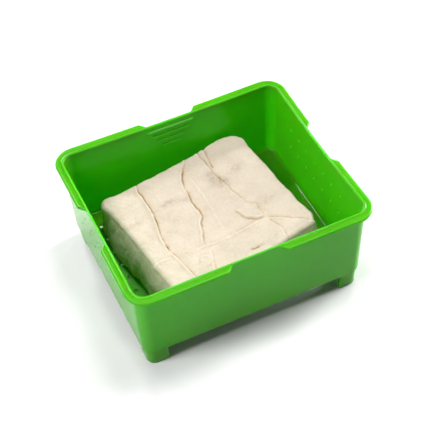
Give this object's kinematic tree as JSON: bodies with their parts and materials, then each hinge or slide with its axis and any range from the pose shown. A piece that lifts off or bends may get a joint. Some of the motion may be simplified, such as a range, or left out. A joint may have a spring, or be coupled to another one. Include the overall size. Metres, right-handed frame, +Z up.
{
  "type": "cheese mold",
  "caption": "Rectangular draining mold with leaning walls, a notched flange, corner feet and a perforated floor, holding a pressed curd block.",
  "frame": {"origin": "under the middle of the mold, on the surface that its feet stand on", "axes": "+X along the long side, to the right when the side nearest the viewer is the front; +Y from front to back; +Z up"},
  "size_m": [0.135, 0.116, 0.059],
  "materials": {
    "mold_green": "gloss",
    "curd": "matte"
  },
  "bodies": {
    "mold": {"mold_body": "mold_green"},
    "block": {"cheese_block": "curd"}
  },
  "joints": [
    {"name": "block_lift", "type": "slide", "parent": "mold", "child": "block", "axis": [0, 0, 1], "range_m": [0, 0.08]}
  ]
}
